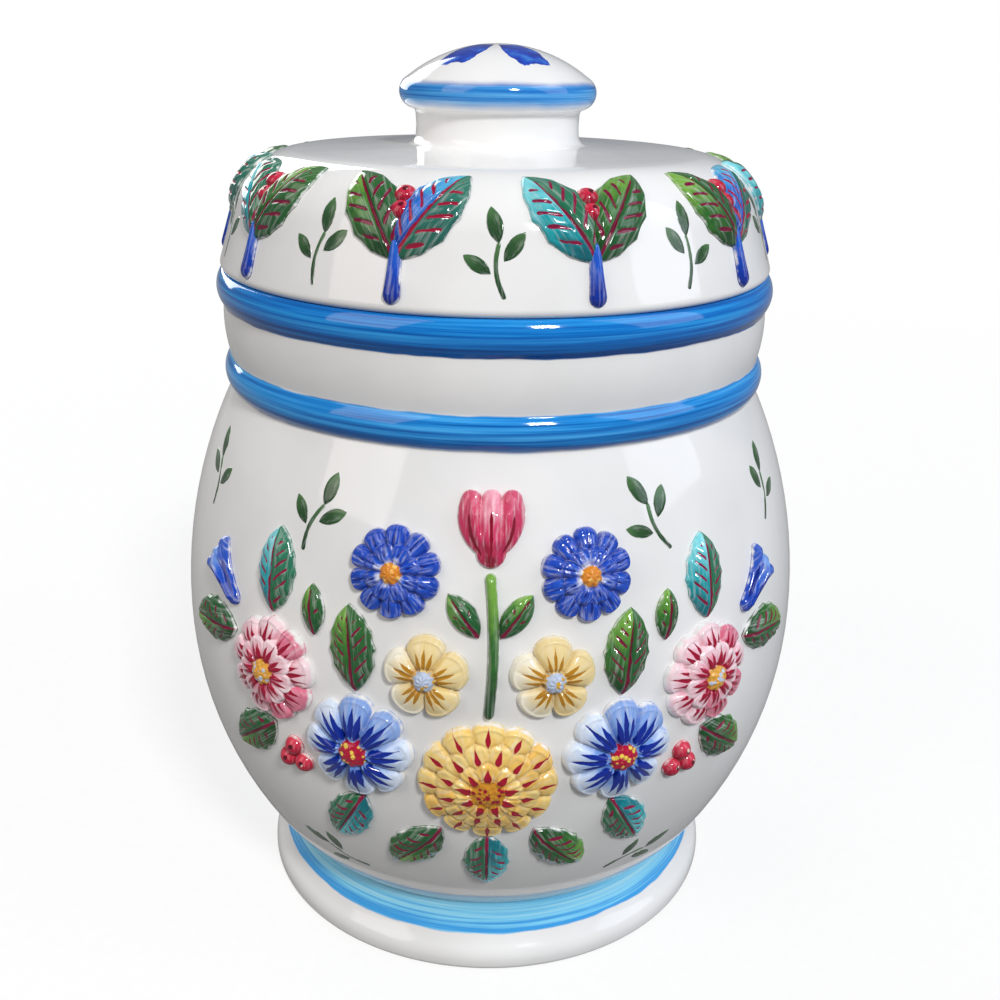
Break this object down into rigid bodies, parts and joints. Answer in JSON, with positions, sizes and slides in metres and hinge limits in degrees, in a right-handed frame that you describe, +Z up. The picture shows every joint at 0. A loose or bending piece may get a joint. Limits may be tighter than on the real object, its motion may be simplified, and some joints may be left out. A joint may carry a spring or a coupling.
{
  "type": "storage jar",
  "caption": "Round-bellied glazed earthenware storage jar with a loose knobbed lid, painted bands and raised flower sprigs, for biscuits and dry food.",
  "frame": {"origin": "middle of the foot's underside, on the surface the jar stands on", "axes": "+Z up through the lid's knob; the front flower swag faces -Y, +X to the viewer's right"},
  "size_m": [0.197, 0.2088, 0.2683],
  "materials": {
    "white_glaze": "glossy",
    "golden_glaze": "glossy",
    "periwinkle_glaze": "glossy",
    "pink_glaze": "glossy",
    "cream_glaze": "glossy",
    "cobalt_glaze": "glossy",
    "crimson_glaze": "glossy",
    "green_glaze": "glossy",
    "teal_glaze": "glossy"
  },
  "bodies": {
    "jar": {"bell_back_left": "cobalt_glaze", "bell_back_right": "cobalt_glaze", "bell_front_left": "cobalt_glaze", "bell_front_right": "cobalt_glaze", "berries_back_left": "crimson_glaze", "berries_back_right": "crimson_glaze", "berries_front_left": "crimson_glaze", "berries_front_right": "crimson_glaze", "blossom_back_left": "cream_glaze", "blossom_back_right": "cream_glaze", "blossom_front_left": "cream_glaze", "blossom_front_right": "cream_glaze", "cornflower_back_left": "cobalt_glaze", "cornflower_back_right": "cobalt_glaze", "cornflower_front_left": "cobalt_glaze", "cornflower_front_right": "cobalt_glaze", "dahlia_back": "golden_glaze", "dahlia_front": "golden_glaze", "daisy_back_left": "periwinkle_glaze", "daisy_back_right": "periwinkle_glaze", "daisy_front_left": "periwinkle_glaze", "daisy_front_right": "periwinkle_glaze", "jar_body": "white_glaze", "leaves_back_left": "green_glaze", "leaves_back_right": "green_glaze", "leaves_front_left": "green_glaze", "leaves_front_right": "green_glaze", "low_leaf_back": "green_glaze", "low_leaf_front": "green_glaze", "tulip_back": "pink_glaze", "tulip_front": "pink_glaze", "zinnia_back_left": "pink_glaze", "zinnia_back_right": "pink_glaze", "zinnia_front_left": "pink_glaze", "zinnia_front_right": "pink_glaze"},
    "lid": {"lid_knob": "white_glaze", "lid_shell": "white_glaze", "lid_sprig_01": "teal_glaze", "lid_sprig_02": "teal_glaze", "lid_sprig_03": "teal_glaze", "lid_sprig_04": "teal_glaze", "lid_sprig_05": "teal_glaze", "lid_sprig_06": "teal_glaze", "lid_sprig_07": "teal_glaze", "lid_sprig_08": "teal_glaze", "lid_sprig_09": "teal_glaze", "lid_sprig_10": "teal_glaze"}
  },
  "joints": [
    {"name": "lid_lift", "type": "slide", "parent": "jar", "child": "lid", "axis": [0, 0, 1], "range_m": [0, 0.12]}
  ]
}
